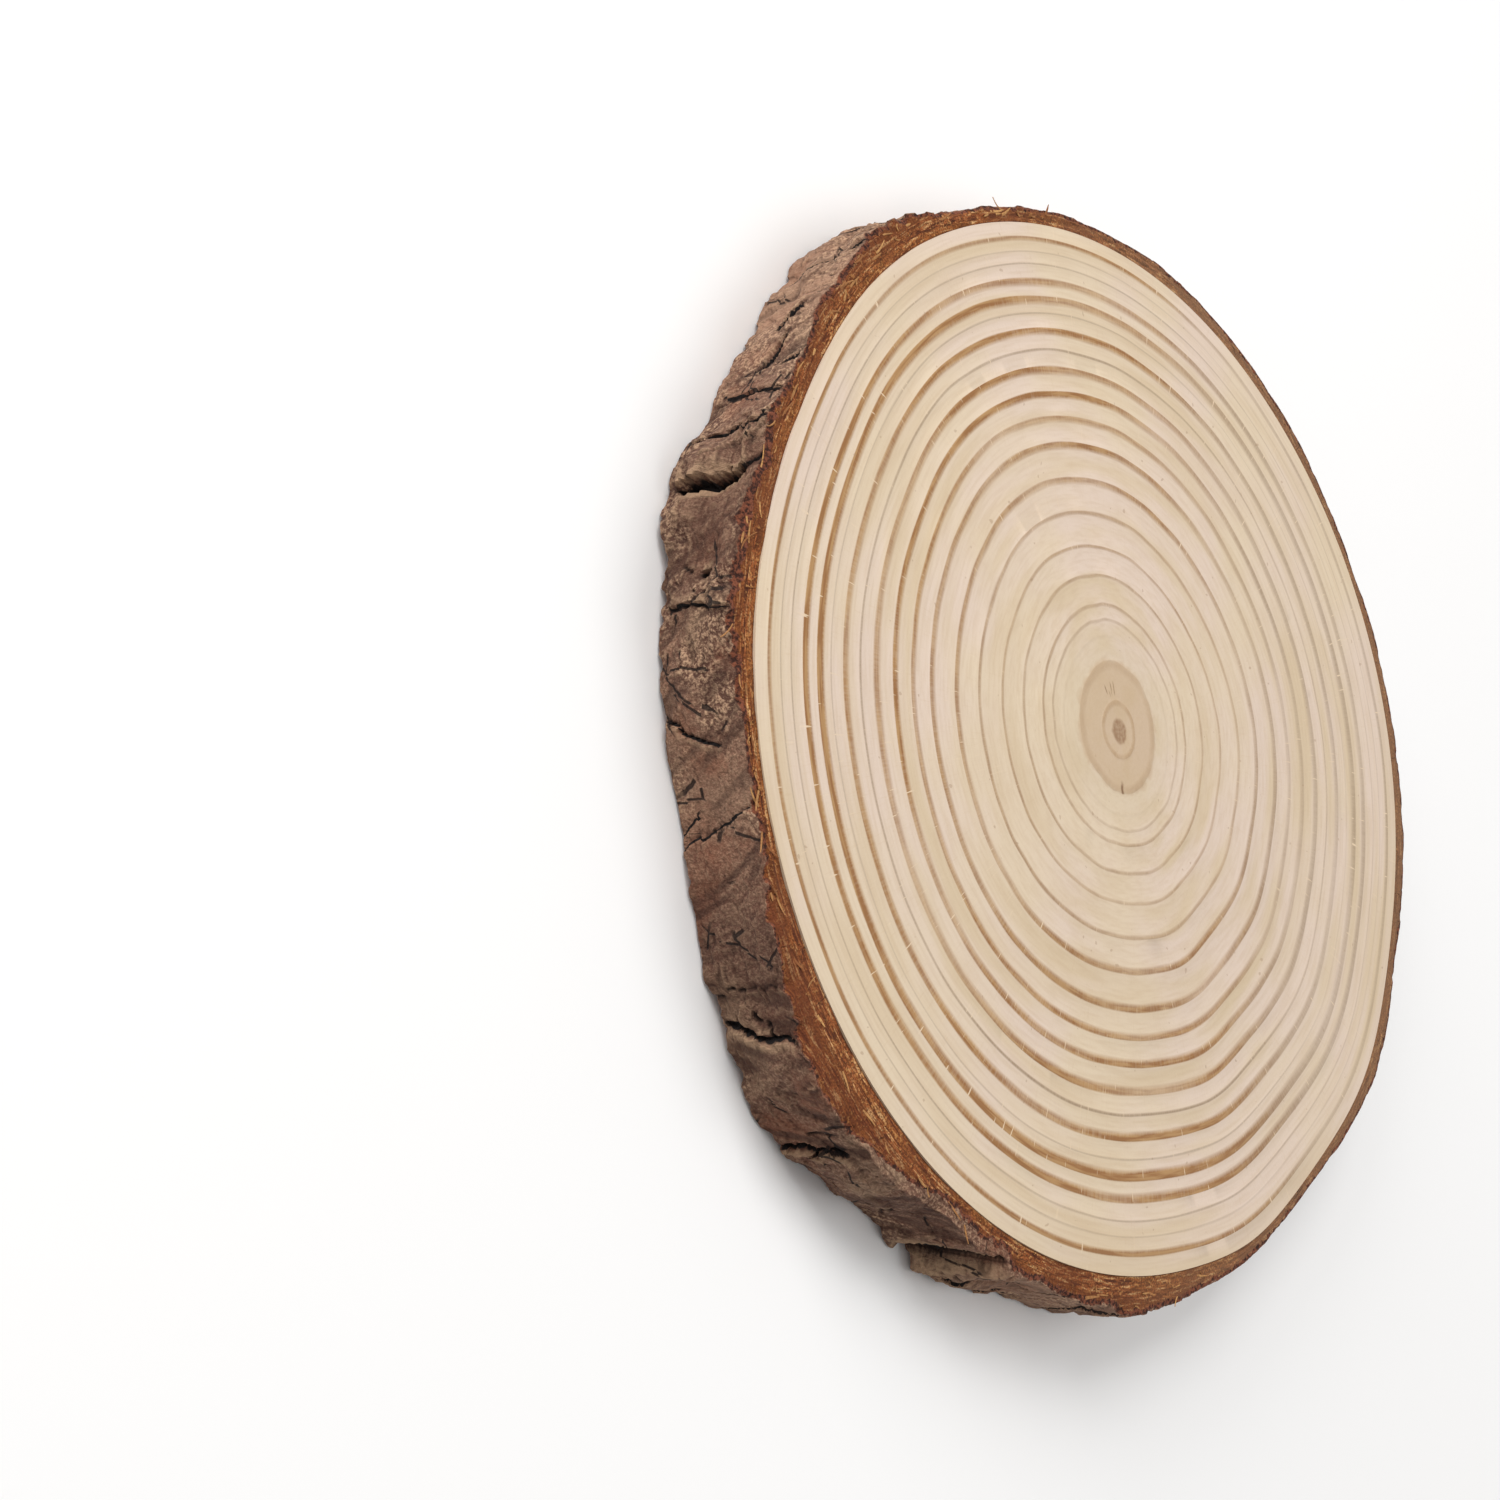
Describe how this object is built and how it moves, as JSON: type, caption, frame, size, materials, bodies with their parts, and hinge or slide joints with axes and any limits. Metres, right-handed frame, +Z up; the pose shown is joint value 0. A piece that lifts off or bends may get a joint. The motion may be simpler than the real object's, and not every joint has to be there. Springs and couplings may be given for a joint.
{
  "type": "wood slice",
  "caption": "Round slice sawn across a small softwood log, with its bark on; lies flat as a craft blank, coaster, rustic centrepiece base or small display stand.",
  "frame": {"origin": "under the middle of the slice, on the surface it lies on", "axes": "+Z up, out of the front sawn face; +X and +Y in the plane of the face, with +X along the slice's slightly longer width"},
  "size_m": [0.1268, 0.1154, 0.0095],
  "materials": {
    "sawn_softwood": "sanded, unsealed",
    "bark": "rough, dry and scaly"
  },
  "bodies": {
    "root": {"wood": "sawn_softwood", "bark": "bark"}
  },
  "joints": []
}
